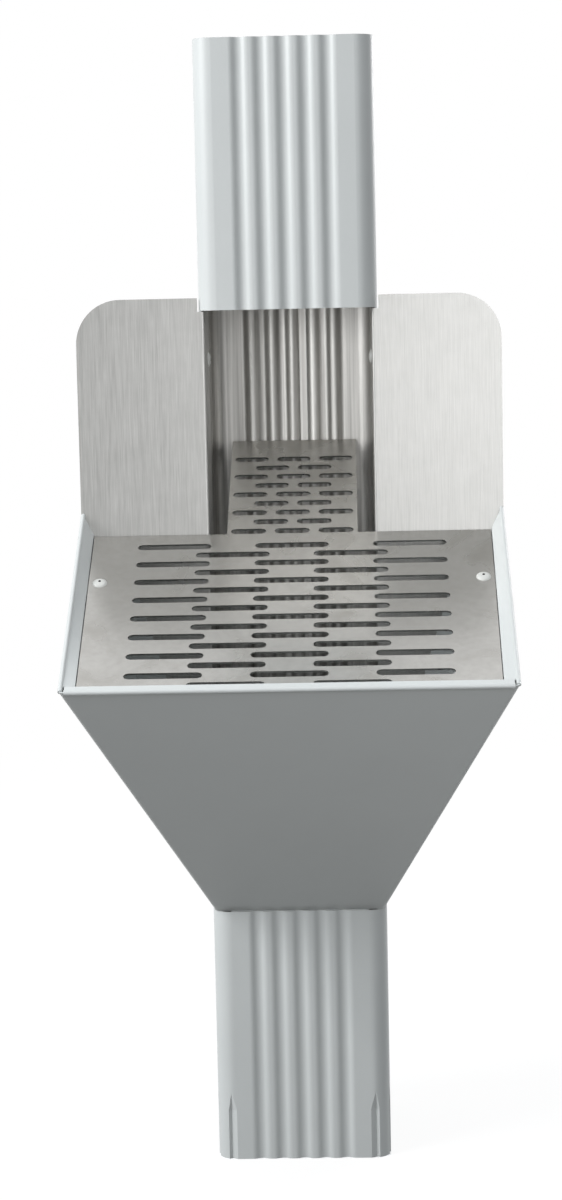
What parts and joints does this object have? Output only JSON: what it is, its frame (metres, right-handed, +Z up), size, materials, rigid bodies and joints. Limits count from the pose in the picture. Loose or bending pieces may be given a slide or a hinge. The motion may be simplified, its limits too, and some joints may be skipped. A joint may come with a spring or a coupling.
{
  "type": "downpipe leaf filter",
  "caption": "Fluted square downpipe section with a front window, a sloped slotted filter plate that sheds leaves forwards, folded wings and a funnel hopper that returns the water to the pipe.",
  "frame": {"origin": "centre of the pipe's outlet, in the plane of its lower end", "axes": "+Z up along the pipe, -Y towards the side where leaves fall off, +X to the right seen from there"},
  "size_m": [0.181, 0.1765, 0.485],
  "materials": {
    "painted_pipe": "satin coil paint, pale grey",
    "painted_sheet": "satin coil paint, grey",
    "bare_sheet": "brushed, bare",
    "slotted_plate": "brushed, bare, lightly stained",
    "rivet_white": "white paint"
  },
  "bodies": {
    "root": {"downpipe": "painted_pipe", "hopper": "painted_sheet", "left_wing": "bare_sheet", "right_wing": "bare_sheet", "filter_plate": "slotted_plate", "left_bracket": "bare_sheet", "right_bracket": "bare_sheet", "plate_rivets": "rivet_white", "wing_rivets": "rivet_white", "hopper_rivets": "rivet_white", "bracket_rivets": "rivet_white"}
  },
  "joints": []
}
